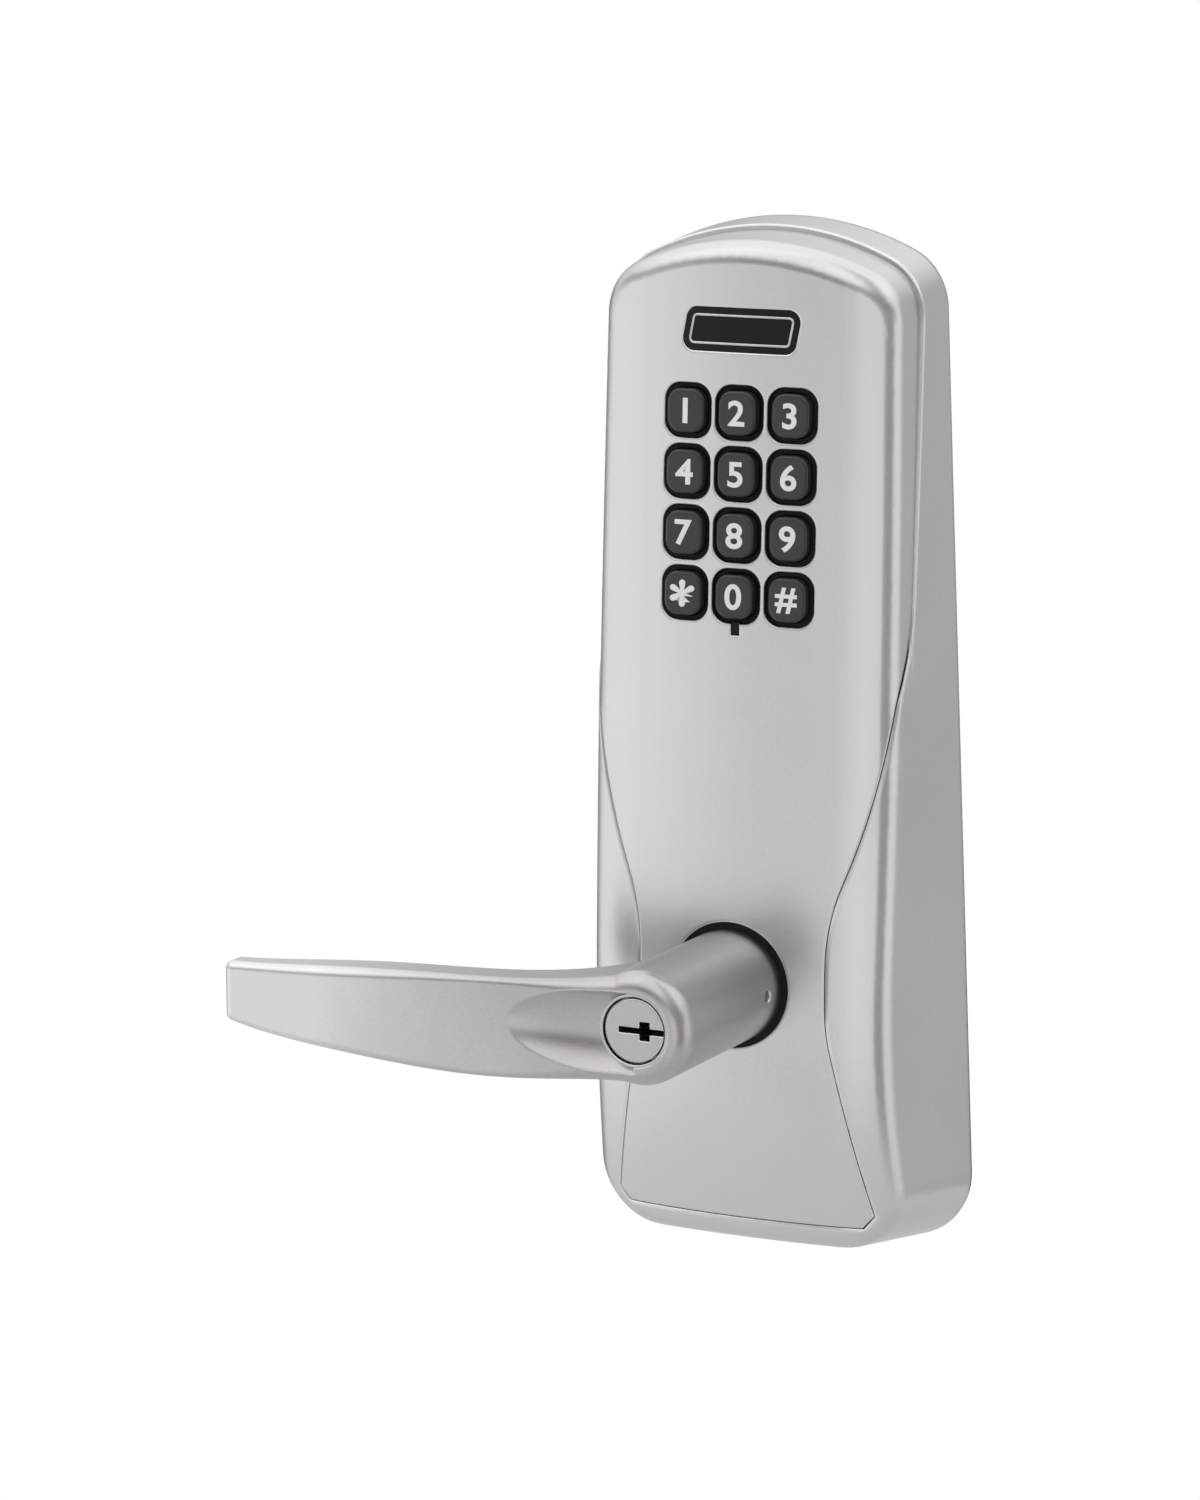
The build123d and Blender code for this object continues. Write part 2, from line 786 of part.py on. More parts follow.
def make_spindle_sleeve():
    """Pipe that carries the lever, with slots for the clutch collar and a groove for the clip."""
    body = tube(sleeve_radius, sleeve_bore, sleeve_back, sleeve_front)
    slot_high = collar_high + slide_gap
    body -= block(2 * drive_radius, spline_width + 2 * slide_gap, sleeve_back, slot_high)
    clip_high = web_back - slide_gap
    body -= tube(drive_radius, sleeve_radius - clip_sink, clip_high - clip_thickness, clip_high)
    return body - rod(catch_radius + run_gap, 0, drive_radius, catch_depth)


def make_sleeve_clip():
    """Open ring in the sleeve's groove, behind the bearing."""
    high = web_back - slide_gap
    inner = sleeve_radius - clip_sink + fit_gap
    ring = tube(sleeve_radius + clip_width, inner, high - clip_thickness + fit_gap, high - fit_gap)
    return ring - block(clip_mouth, far, 0, high, 0, -far / 2)


def make_hub_bearing():
    """Flanged bush in the web that the sleeve turns in."""
    inner = sleeve_radius + run_gap
    body = tube(bearing_radius, inner, web_back, ledge_foot)
    return body + tube(bearing_flange_radius, inner, ledge_foot, bearing_top)


def make_spring_cage():
    """Ring round the return spring, held to the web by two ears."""
    body = disc(cage_outer, ledge_foot, ledge_foot + cage_height)
    for x, y in cage_spots:
        body += disc(boss_radius, ledge_foot, ledge_foot + cage_base, x, y)
    body -= disc(cage_inner, ledge_foot, ledge_foot + cage_height)
    for x, y in cage_spots:
        body -= disc(screw_head_radius + slide_gap, ledge_foot + cage_base, far, x, y)
        body -= disc(screw_hole, ledge_foot, ledge_foot + cage_base, x, y)
    return body


def make_short_screws(spots, seat):
    """Short screws into the web, their heads on a seat of the given thickness."""
    low = ledge_foot - short_grip
    return group([screw(low, ledge_foot + seat, False, x, y) for x, y in spots])


def make_return_spring():
    """Coil round the sleeve that brings the lever back to level."""
    path = Helix(spring_pitch, spring_turns * spring_pitch, spring_radius)
    start = Plane(origin=path @ 0, z_dir=path % 0)
    return Pos(0, 0, spring_low) * sweep(start * Circle(spring_wire), path, is_frenet=True)


def make_lever_cam():
    """Plate on the sleeve that winds the return spring, with two flats."""
    plate = tube(cam_radius, sleeve_radius + fit_gap, cam_low, cam_low + cam_thickness)
    return plate & block(2 * far, 2 * (cam_radius - cam_gap), 0, far)


def make_lever_catch():
    """Pin behind the hole in the hub, with a head inside the sleeve."""
    head_out = math.sqrt(sleeve_bore**2 - catch_head_radius**2) - slide_gap
    pin = rod(catch_radius, head_out, hub_radius - catch_inset, catch_depth)
    return pin + rod(catch_head_radius, head_out - catch_head, head_out, catch_depth)


def make_catch_spring():
    """Leaf across the sleeve's bore behind the catch."""
    head_out = math.sqrt(sleeve_bore**2 - catch_head_radius**2) - slide_gap
    outer = head_out - catch_head - fit_gap
    half = math.sqrt(sleeve_bore**2 - outer**2) - fit_gap
    return Pos(outer - leaf_thickness / 2, 0, catch_depth) * Box(leaf_thickness, 2 * half, leaf_width)


# Key cylinder


def pin_places():
    """Depths of the pins along the plug."""
    return [shell_front - pin_first - pin_pitch * number for number in range(pin_count)]


def make_cylinder_shell():
    """Barrel in the lever's end, bored for the plug, with a chamber for each driver pin."""
    body = tube(shell_radius, plug_radius + run_gap, shell_back, shell_front)
    body += tube(shell_radius, shell_radius - rim_wall, shell_front, lever_front - rim_sink)
    for place in pin_places():
        body -= rod(pin_radius + fit_gap, -plug_radius - pin_length, -plug_radius, place)
    return body


def make_driver_pins():
    """Pins in the barrel that stop the plug until a key lifts them."""
    start = -plug_radius - pin_length
    return group([rod(pin_radius, start, -plug_radius - run_gap, place) for place in pin_places()])


def make_key_plug():
    """Turning plug with its face, its keyway and a chamber for each key pin."""
    body = disc(plug_radius, shell_back, plug_front)
    body += disc(plug_face_radius, plug_front - plug_face, plug_front)
    body += disc(tail_radius, tail_back, shell_back)
    low = plug_front - keyway_depth
    slot_middle = (keyway_left + plug_face_radius) / 2
    body -= block(plug_face_radius - keyway_left, keyway_height, low, plug_front, slot_middle)
    body -= block(keyway_ward_width, keyway_ward_height, low, plug_front, keyway_ward_x)
    for place in pin_places():
        body -= rod(pin_radius + fit_gap, -plug_radius, keyway_left, place)
    wide = tailpiece_width + 2 * fit_gap
    tall = tailpiece_thickness + 2 * fit_gap
    return body - block(wide, tall, tail_back, tail_back + tail_slot)


def make_key_pins():
    """Pins in the plug that the key's cuts lift."""
    end = keyway_left - fit_gap
    return group([rod(pin_radius, fit_gap - plug_radius, end, place) for place in pin_places()])


def make_plug_clip():
    """Washer on the plug's tail that holds the plug in the barrel."""
    high = shell_back - slide_gap
    return tube(tail_radius + plug_clip_width, tail_radius + fit_gap, high - plug_clip_thickness, high)


def make_tailpiece():
    """Flat bar from the plug to the drive hub, which has a clear round pocket for its end."""
    low = drive_high - notch_depth + free_gap
    return block(tailpiece_width, tailpiece_thickness, low, tail_back + tail_slot - fit_gap)


# Clutch


def make_drive_hub():
    """Disc that turns the latch spindle, with a notch for each dog of the collar."""
    body = disc(drive_radius, drive_low, drive_high)
    body += disc(drive_boss_radius, drive_low - drive_boss, drive_low)
    notch_low = drive_high - notch_depth
    notch = block(far, dog_width + 2 * free_gap, notch_low, drive_high)
    body -= notch - disc(sleeve_radius, notch_low, drive_high)
    body -= disc(tailpiece_width / 2 + free_gap, notch_low, drive_high)
    side = spindle_side + 2 * fit_gap
    return body - block(side, side, drive_low - drive_boss, drive_low + spindle_seat)


def make_drive_spindle():
    """Square bar into the latch inside the door."""
    return block(spindle_side, spindle_side, -spindle_reach, drive_low + spindle_seat)


def make_clutch_collar():
    """Sliding collar: keys in the sleeve's slots, dogs at its back, a groove for the yoke."""
    inner = sleeve_radius + run_gap
    body = tube(drive_radius, inner, collar_low, collar_high)
    key = block(2 * inner + 1, spline_width, collar_low, collar_high)
    body += key - disc(sleeve_radius - spline_depth, collar_low, collar_high)
    dog = block(2 * drive_radius, dog_width, collar_low - dog_length, collar_low)
    rim = tube(drive_radius, inner + free_gap, collar_low - dog_length, collar_low)
    body += dog & rim
    return body - tube(far, groove_floor, groove_low, groove_high)


def make_clutch_yoke():
    """Fork in the collar's groove, with the nut that the motor's screw turns in."""
    low = groove_low + slide_gap
    high = groove_high - slide_gap
    middle = (yoke_foot + yoke_head) / 2
    body = block(2 * yoke_half_width, yoke_head - yoke_foot, low, high, 0, middle)
    body -= disc(groove_floor + free_gap / 2, low, high)
    half_nut = nut_length / 2
    centre = (low + high) / 2
    body += disc(nut_radius, centre - half_nut, centre + half_nut, 0, motor_y)
    body -= disc(motor_screw_radius + run_gap, centre - half_nut, centre + half_nut, 0, motor_y)
    for side in (-1, 1):
        body -= disc(guide_radius + run_gap, low, high, side * guide_x, guide_y)
    return body


def make_clutch_motor():
    """Small motor in front of the web."""
    body = disc(motor_radius, ledge_foot, ledge_foot + motor_length, 0, motor_y)
    return body - disc(motor_screw_radius + run_gap, ledge_foot, ledge_foot + motor_length / 2, 0, motor_y)


def make_motor_screw():
    """Screw on the motor's shaft that moves the yoke."""
    return disc(motor_screw_radius, motor_screw_low, ledge_foot + motor_length / 2, 0, motor_y)


def make_motor_bracket():
    """Strap round the motor with two ears on the web."""
    body = block(2 * bracket_screw_x, 2 * bracket_ear, ledge_foot, ledge_foot + bracket_base, 0, motor_y)
    for x, y in bracket_spots:
        body += disc(bracket_ear, ledge_foot, ledge_foot + bracket_base, x, y)
    inner = motor_radius + fit_gap
    body += disc(inner + bracket_wall, ledge_foot, ledge_foot + bracket_height, 0, motor_y)
    body -= disc(inner, ledge_foot, ledge_foot + bracket_height, 0, motor_y)
    for x, y in bracket_spots:
        body -= disc(screw_hole, ledge_foot, ledge_foot + bracket_base, x, y)
    return body


# Fixing to the door


def make_mounting_plate():
    """Steel plate at the door with a pilot ring for the door's bore."""
    face = outline(0, housing_wall + back_plate_gap)
    body = extrude(face, amount=back_plate)
    body += tube(pilot_radius, pilot_radius - pilot_wall, -pilot_length, 0)
    body -= disc(drive_boss_radius + run_gap, 0, back_plate)
    body -= disc(wire_hole_radius, 0, back_plate, 0, wire_hole_y)
    for x, y in post_spots:
        body -= disc(post_radius + fit_gap, 0, back_plate, x, y)
    for x, y in plate_screw_spots:
        body -= disc(screw_head_radius + slide_gap, 0, plate_screw_head, x, y)
        body -= disc(screw_hole, plate_screw_head, back_plate, x, y)
    return body


def make_plate_screws():
    """Four flat screws from the plate into the housing's bosses."""
    heads = [disc(screw_head_radius, 0, plate_screw_head, x, y) for x, y in plate_screw_spots]
    end = back_plate + screw_grip
    shanks = [disc(screw_radius, plate_screw_head, end, x, y) for x, y in plate_screw_spots]
    return group([a + b for a, b in zip(heads, shanks)])


def make_mounting_posts():
    """Four threaded posts for the bolts that come through the door."""
    posts = [disc(post_radius, 0, post_length, x, y) for x, y in post_spots]
    holes = [disc(post_thread_radius, 0, post_thread_depth, x, y) for x, y in post_spots]
    return group([a - b for a, b in zip(posts, holes)])


def make_door_gasket():
    """Flat rubber ring between the housing and the door."""
    outer = outline(0, gasket_inset)
    inner = outline(0, gasket_inset + gasket_width)
    return extrude(outer - inner, amount=gasket_thickness)


def make_cover_screws():
    """Screws that hold the cover, through the web and through the tab under the arch."""
    screws = [screw(web_back, ledge_foot + screw_grip, True, x, y) for x, y in cover_screw_spots]
    screws.append(screw(tab_high - tab_thickness, tab_high + screw_grip, True, 0, top_screw_y))
    return group(screws)


os.makedirs("parts", exist_ok=True)
save("housing", make_housing())
save("front_cover", make_front_cover())
save("hub_ring", make_hub_ring())
plate_trim = make_plate_trim()
save("plate_trim", plate_trim)
save("name_plate", make_name_plate(plate_trim))
save("keypad_frame", make_keypad_frame())
key_names = ("1", "2", "3", "4", "5", "6", "7", "8", "9", "star", "0", "hash")
for number, key_name in enumerate(key_names):
    save(f"key_{key_name}", make_key(key_columns[number % 3], key_rows[number // 3]))
save("key_mat", make_key_mat())
save("keypad_board", make_keypad_board())
save("board_screws", make_board_screws())
save("board_chips", make_board_chips())
save("sounder", make_sounder())
save("cable_socket", make_cable_socket())
save("indicator_led", make_indicator_led())
save("indicator_window", make_indicator_window())
save("lever_handle", make_lever_handle())
save("spindle_sleeve", make_spindle_sleeve())
save("sleeve_clip", make_sleeve_clip())
save("hub_bearing", make_hub_bearing())
save("spring_cage", make_spring_cage())
save("cage_screws", make_short_screws(cage_spots, cage_base))
save("return_spring", make_return_spring())
save("lever_cam", make_lever_cam())
save("lever_catch", make_lever_catch())
save("catch_spring", make_catch_spring())
save("cylinder_shell", make_cylinder_shell())
save("driver_pins", make_driver_pins())
save("key_plug", make_key_plug())
save("key_pins", make_key_pins())
save("plug_clip", make_plug_clip())
save("tailpiece", make_tailpiece())
save("drive_hub", make_drive_hub())
save("drive_spindle", make_drive_spindle())
save("clutch_collar", make_clutch_collar())
save("clutch_yoke", make_clutch_yoke())
save("clutch_motor", make_clutch_motor())
save("motor_screw", make_motor_screw())
save("motor_bracket", make_motor_bracket())
save("bracket_screws", make_short_screws(bracket_spots, bracket_base))
save("mounting_plate", make_mounting_plate())
save("plate_screws", make_plate_screws())
save("mounting_posts", make_mounting_posts())
save("door_gasket", make_door_gasket())
save("cover_screws", make_cover_screws())
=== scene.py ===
# %% [markdown]
# # A keypad lever lock
# The lock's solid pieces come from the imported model: a cast case, a front cover, twelve keys,
# a lever with a key cylinder in it. This file gives them their finishes, adds the printed
# numerals on the keys, and sets up a plain studio with a camera.

# %% Load the frame
import json
import math

import bmesh
import bpy
from mathutils import Matrix, Vector


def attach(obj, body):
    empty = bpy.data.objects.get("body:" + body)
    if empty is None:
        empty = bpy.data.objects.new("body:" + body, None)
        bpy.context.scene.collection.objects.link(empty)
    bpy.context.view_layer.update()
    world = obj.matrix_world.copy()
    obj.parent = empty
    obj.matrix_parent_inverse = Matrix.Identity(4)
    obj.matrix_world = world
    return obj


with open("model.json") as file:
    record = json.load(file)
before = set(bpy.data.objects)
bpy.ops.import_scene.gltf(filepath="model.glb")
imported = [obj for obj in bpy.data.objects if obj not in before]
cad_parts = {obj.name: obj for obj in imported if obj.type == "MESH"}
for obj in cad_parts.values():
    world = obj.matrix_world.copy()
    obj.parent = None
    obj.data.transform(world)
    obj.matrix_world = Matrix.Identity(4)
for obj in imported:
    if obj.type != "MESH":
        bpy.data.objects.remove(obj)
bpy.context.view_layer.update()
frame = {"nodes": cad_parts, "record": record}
nodes = frame["nodes"]

# %% [markdown]
# ## The camera
# The lock is seen a little from the right and from above. The camera stands on a line from the
# case's middle at those two angles, 1.4 m away, with a long lens, so that the upright edges stay
# nearly parallel. Building the matrix from three directions is surer than setting angles,
# because the small roll then stays a roll.

# %% Camera
AIM = Vector((-0.0542, 0.0, 0.0465))
DISTANCE = 1.4
AZIMUTH = math.radians(27.0)
ELEVATION = math.radians(10.9)
ROLL = math.radians(-0.45)

scene = bpy.context.scene


def add_to_scene(name, data):
    """Makes an object of this data and puts it in the scene."""
    made = bpy.data.objects.new(name, data)
    scene.collection.objects.link(made)
    return made


ahead = Vector((
    -math.sin(AZIMUTH) * math.cos(ELEVATION),
    math.cos(AZIMUTH) * math.cos(ELEVATION),
    -math.sin(ELEVATION),
))
level = Vector((math.cos(AZIMUTH), math.sin(AZIMUTH), 0.0))
upright = level.cross(ahead)
right = level * math.cos(ROLL) + upright * math.sin(ROLL)
up = upright * math.cos(ROLL) - level * math.sin(ROLL)

camera_data = bpy.data.cameras.new("camera")
camera_data.sensor_width = 36.0
camera_data.lens = 134.57
camera = add_to_scene("camera", camera_data)
camera_turn = Matrix((right, up, -ahead)).transposed().to_4x4()
camera.matrix_world = Matrix.Translation(AIM - ahead * DISTANCE) @ camera_turn
scene.camera = camera
scene.view_settings.view_transform = "Standard"
print("camera at", [round(v, 3) for v in camera.location])

# %% [markdown]
# ## Writing shaders as sums
# A finish is mostly arithmetic on noise. One small class holds a socket and turns Python's
# operators into Math nodes, so `0.3 + noise * 0.1` reads as it works. Every other node comes from
# its one `node` method.

# %% Shader helper
class Wire:
    """An output socket that can be added to, multiplied and fed to other nodes."""

    def __init__(self, socket):
        self.socket = socket

    @staticmethod
    def node(tree, kind, settings=None, sockets=None, output=0):
        """Adds a node, sets it up, fills its sockets and returns one of its outputs."""
        made = tree.nodes.new(kind)
        for name, value in (settings or {}).items():
            setattr(made, name, value)
        for name, value in (sockets or {}).items():
            if isinstance(value, Wire):
                tree.links.new(value.socket, made.inputs[name])
            else:
                made.inputs[name].default_value = value
        return Wire(made.outputs[output]) if made.outputs else None

    def maths(self, operation, first, second):
        """A Math node in the tree that this socket belongs to."""
        tree = self.socket.id_data
        return Wire.node(tree, "ShaderNodeMath", {"operation": operation}, {0: first, 1: second})

    def __add__(self, other):
        return self.maths("ADD", self, other)

    def __radd__(self, other):
        return self.maths("ADD", other, self)

    def __sub__(self, other):
        return self.maths("SUBTRACT", self, other)

    def __rsub__(self, other):
        return self.maths("SUBTRACT", other, self)

    def __mul__(self, other):
        return self.maths("MULTIPLY", self, other)

    def __rmul__(self, other):
        return self.maths("MULTIPLY", other, self)

    def above(self, other):
        """The larger of two values."""
        return self.maths("MAXIMUM", self, other)


print("shader class ready")

# %% [markdown]
# ## The few nodes that every finish uses
# Real surfaces differ from spot to spot, so each finish here starts from noise on the piece's own
# coordinates, which stays put when the piece moves. The noise then mixes two near colours, shifts
# the roughness and lifts a small relief. Each of these steps is a function, so that a finish reads
# as a short recipe.

# %% Finish helpers
NOISE_FALL = 0.55


def new_material(name):
    """A material, its emptied tree and the piece's own coordinates."""
    material = bpy.data.materials.new(name)
    material.use_nodes = True
    tree = material.node_tree
    tree.nodes.clear()
    place = Wire.node(tree, "ShaderNodeTexCoord", output=3)
    return material, tree, place


def close_material(tree, sockets):
    """Adds the Principled shader with these sockets and joins it to the output."""
    shader = Wire.node(tree, "ShaderNodeBsdfPrincipled", None, sockets)
    Wire.node(tree, "ShaderNodeOutputMaterial", None, {"Surface": shader})


def noise(tree, place, scale, detail, stretch=(1.0, 1.0, 1.0)):
    """Grey noise on the piece's coordinates, finer for a larger scale."""
    stretched = Wire.node(tree, "ShaderNodeMapping", None, {"Vector": place, "Scale": stretch})
    sockets = {"Vector": stretched, "Scale": scale, "Detail": detail, "Roughness": NOISE_FALL}
    return Wire.node(tree, "ShaderNodeTexNoise", None, sockets)


def mix_colour(tree, share, first, second):
    """One colour fading into another."""
    sockets = {"Factor": share, 6: first, 7: second}
    return Wire.node(tree, "ShaderNodeMix", {"data_type": "RGBA"}, sockets, output=2)


def bump(tree, height, strength, distance, normal=None):
    """Small relief from a height, on top of another normal where one is given."""
    sockets = {"Height": height, "Strength": strength, "Distance": distance}
    if normal:
        sockets["Normal"] = normal
    return Wire.node(tree, "ShaderNodeBump", None, sockets)


def soft_step(tree, value, start, end, low=0.0, high=1.0):
    """Goes smoothly from low to high while the value goes from start to end."""
    limits = {"From Min": start, "From Max": end, "To Min": low, "To Max": high}
    settings = {"interpolation_type": "SMOOTHSTEP"}
    return Wire.node(tree, "ShaderNodeMapRange", settings, {"Value": value, **limits})


def closeness(tree, first, second):
    """Cosine of the angle between two directions."""
    settings = {"operation": "DOT_PRODUCT"}
    return Wire.node(tree, "ShaderNodeVectorMath", settings, {0: first, 1: second}, output=1)


print("finish helpers ready")

# %% [markdown]
# ## Satin metal
# The case and the lever are cast, blasted fine and plated, so the metal is soft rather than
# mirror-like. A fine noise makes the grain, stretched along the way each piece was brushed, and a
# wide one the faint clouds that hands and polishing leave. Both go into colour and roughness, and
# the grain also into a very low relief.
#
# A casting has no knife edges. They could be cut into the mesh, but this file leaves the solid
# model as it is, so the Bevel node rounds only the normal. Where that normal leaves the face's own,
# the plating is smoother and its colour is painted brighter: partly wear, partly a painted
# highlight along the edges. The case's edges are rounder than the others', and the lever's colour
# is painted darker near the hub and lighter towards its tip, as painted shade and light.

# %% Satin metal
CLOUD_SCALE = 28.0
SPECK_FINER = 1.9
GRAIN_DEPTH = 0.00006
FINE_ROUGH = 0.08
CLOUD_ROUGH = 0.06
EDGE = 0.0009
CASE_EDGE = 0.0015
EDGE_SAMPLES = 8
# Edge colour and how strongly it is mixed in: partly wear on the plating, partly a painted
# highlight along the edges.
WEAR_AND_HIGHLIGHT_COLOUR = (0.96, 0.96, 0.95, 1)
WEAR_AND_HIGHLIGHT_GAIN = 4.0
WORN_SMOOTHER = 0.3
# How far the painted shade and painted light along the lever shift the mix of its two colours.
PAINTED_LIGHT_SHARE = (-0.4, 1.0)


def satin_metal(name, tint, shade, rough, grain, brush, relief, edge=EDGE, painted_light_reach=None):
    """Soft plated metal; the last argument is the reach in x over which the colour goes from
    painted shade to painted light.
    """
    material, tree, place = new_material(name)
    fine = noise(tree, place, grain, 4.0, brush)
    cloud = noise(tree, place, CLOUD_SCALE, 2.0)
    speck = noise(tree, place, grain * SPECK_FINER, 2.0)
    rounded = Wire.node(tree, "ShaderNodeBevel", {"samples": EDGE_SAMPLES}, {"Radius": edge})
    face = Wire.node(tree, "ShaderNodeNewGeometry", output=1)
    # Edge mask for the wear and the painted highlight: where the rounded normal leaves the face's
    # own.
    wear_and_highlight = 1.0 - closeness(tree, rounded, face)
    share = fine * 0.5 + cloud * 0.5
    # Painted shade and light: the colour grows lighter along x over the given reach.
    if painted_light_reach:
        along = Wire.node(tree, "ShaderNodeSeparateXYZ", None, {0: place})
        share = share + soft_step(tree, along, *painted_light_reach, *PAINTED_LIGHT_SHARE)
    plated = mix_colour(tree, share, shade, tint)
    uneven = (fine - 0.5) * FINE_ROUGH + (cloud - 0.5) * CLOUD_ROUGH
    close_material(tree, {
        "Base Color": mix_colour(tree, wear_and_highlight * WEAR_AND_HIGHLIGHT_GAIN, plated, WEAR_AND_HIGHLIGHT_COLOUR),
        "Metallic": 1.0,
        "Roughness": rough + uneven - wear_and_highlight * WORN_SMOOTHER,
        "Normal": bump(tree, fine * 0.6 + speck * 0.4, relief, GRAIN_DEPTH, rounded),
    })
    return material


print("satin metal ready, edges", EDGE, "m, on the case", CASE_EDGE, "m")

# %% The metals
EVEN_GRAIN = (1.0, 1.0, 1.0)
CHROME = {
    "tint": (0.77, 0.77, 0.775, 1),
    "shade": (0.63, 0.63, 0.635, 1),
    "rough": 0.25,
    "grain": 1700.0,
    "brush": (1.0, 1.0, 0.6),
    "relief": 0.30,
}

chrome = satin_metal("satin_chrome", **CHROME)
case_chrome = satin_metal("case_chrome", **CHROME, edge=CASE_EDGE)
# The lever's colour is painted darker near the hub and lighter towards the tip, standing in for
# shade and light.
lever_chrome = satin_metal(
    "lever_chrome", tint=(0.80, 0.795, 0.785, 1), shade=(0.52, 0.515, 0.505, 1),
    rough=0.30, grain=1700.0, brush=(0.5, 1.0, 1.0), relief=0.30, painted_light_reach=(-0.030, -0.125),
)
nickel = satin_metal(
    "satin_nickel", tint=(0.62, 0.62, 0.62, 1), shade=(0.50, 0.50, 0.50, 1),
    rough=0.28, grain=4200.0, brush=EVEN_GRAIN, relief=0.14,
)
steel = satin_metal(
    "plated_steel", tint=(0.60, 0.61, 0.63, 1), shade=(0.48, 0.49, 0.51, 1),
    rough=0.36, grain=1800.0, brush=EVEN_GRAIN, relief=0.14,
)
brass = satin_metal(
    "machined_brass", tint=(0.80, 0.62, 0.30, 1), shade=(0.66, 0.49, 0.22, 1),
    rough=0.34, grain=2200.0, brush=(1.0, 0.3, 1.0), relief=0.12,
)
print("metals:", [m.name for m in (chrome, case_chrome, lever_chrome, nickel, steel, brass)])

# %% [markdown]
# ## Plastics and rubber
# The keys, their frame and the hub's ring are moulded in dark plastic with a fine spark-eroded
# texture; the blank plate and the light's window are gloss. The same two noises make them all,
# with more relief for the rough ones and less for the smooth ones. The board and the small light
# have a clear coat, as lacquer and a lens have.

# %% Plastics
PEBBLE_SCALE = 3200.0
PEBBLE_DEPTH = 0.00005
PEBBLE_ROUGH = 0.08
STAIN_SCALE = 60.0
STAIN_ROUGH = 0.16
COAT_ROUGH = 0.12


def moulded(name, tint, shade, rough, relief, shine=0.25, coat=0.0):
    """Plastic or rubber with the fine texture of its mould."""
    material, tree, place = new_material(name)
    pebble = noise(tree, place, PEBBLE_SCALE, 2.0)
    stain = noise(tree, place, STAIN_SCALE, 3.0)
    close_material(tree, {
        "Base Color": mix_colour(tree, pebble * 0.5 + stain * 0.5, shade, tint),
        "Roughness": rough + (stain - 0.5) * STAIN_ROUGH + (pebble - 0.5) * PEBBLE_ROUGH,
        "Specular IOR Level": shine,
        "Coat Weight": coat,
        "Coat Roughness": COAT_ROUGH,
        "Normal": bump(tree, pebble, relief, PEBBLE_DEPTH),
    })
    return material


black = moulded(
    "black_plastic", tint=(0.010, 0.010, 0.011, 1), shade=(0.005, 0.005, 0.006, 1),
    rough=0.45, relief=0.12, shine=0.15,
)
key_black = moulded(
    "key_plastic", tint=(0.040, 0.040, 0.042, 1), shade=(0.024, 0.024, 0.026, 1),
    rough=0.22, relief=0.10, shine=0.50,
)
gloss_black = moulded(
    "gloss_black", tint=(0.010, 0.010, 0.011, 1), shade=(0.006, 0.006, 0.007, 1),
    rough=0.20, relief=0.03, shine=0.20,
)
rubber = moulded(
    "soft_rubber", tint=(0.050, 0.050, 0.050, 1), shade=(0.030, 0.030, 0.030, 1),
    rough=0.75, relief=0.25,
)
board = moulded(
    "board_green", tint=(0.035, 0.20, 0.08, 1), shade=(0.02, 0.13, 0.05, 1),
    rough=0.42, relief=0.08, shine=0.5, coat=0.3,
)
clear = moulded(
    "clear_light", tint=(0.80, 0.86, 0.80, 1), shade=(0.68, 0.74, 0.68, 1),
    rough=0.20, relief=0.02, shine=0.5, coat=0.4,
)
print("plastics:", [m.name for m in (black, key_black, gloss_black, rubber, board, clear)])

# %% [markdown]
# ## Giving each node its finish
# The record names a material slot for every node, so the finishes are handed out by slot. Two
# nodes then take a metal of their own: the lever, because its grain runs along the blade and its
# colour is painted darker near the hub and lighter towards the tip, as painted shade and light, and
# the case, because its cast edges are rounder.

# %% Assign finishes
finish_of_slot = {
    "satin_chrome": chrome,
    "satin_nickel": nickel,
    "black_plastic": black,
    "key_plastic": key_black,
    "gloss_black": gloss_black,
    "rubber": rubber,
    "board": board,
    "light": clear,
    "brass": brass,
    "steel": steel,
}
rows = frame["record"]["subparts"]
for row in rows:
    piece = nodes[row["node"]]
    piece.data.materials.clear()
    piece.data.materials.append(finish_of_slot[row["material_slot"]])
nodes["lever_handle"].data.materials[0] = lever_chrome
nodes["housing"].data.materials[0] = case_chrome
print(len(rows), "nodes finished")

# %% [markdown]
# ## Numerals
# Each key has a white printed sign. A text object gives the shape; it is made a mesh, thickened a
# little, and laid on the key's tilted top with a hair of height so that it doesn't fight with the
# cap's face. Printing it as geometry keeps it sharp at any size and needs no image.

# %% Numeral finish
INK_SCALE = 1500.0
INK_ROUGH = 0.45
INK_UNEVEN = 0.2

ink_material, ink_tree, ink_place = new_material("white_ink")
ink_grain = noise(ink_tree, ink_place, INK_SCALE, 3.0)
close_material(ink_tree, {
    "Base Color": mix_colour(ink_tree, ink_grain, (0.72, 0.72, 0.70, 1), (0.86, 0.86, 0.84, 1)),
    "Roughness": INK_ROUGH + (ink_grain - 0.5) * INK_UNEVEN,
})
print("ink:", ink_material.name)

# %% Numerals
FACE_DEPTH = 0.0394
FACE_TILT = math.radians(2.8624)
CROWN_RADIUS = 0.190
KEY_PITCH_X = 0.0137
KEY_PITCH_Y = 0.0146
TOP_ROW = 0.1381
CAP_PROUD = 0.0014
SIGN_HEIGHT = 0.0062
SIGN_WIDEN = 1.1
STAR_SCALE = 1.6
FONT_BOLDER = 0.022
FONT_DEPTH = 0.004
INK = 0.00004

tilt = Matrix.Rotation(math.pi / 2 - FACE_TILT, 4, "X")
panel = Matrix.Translation((0.0, -FACE_DEPTH, 0.0)) @ tilt


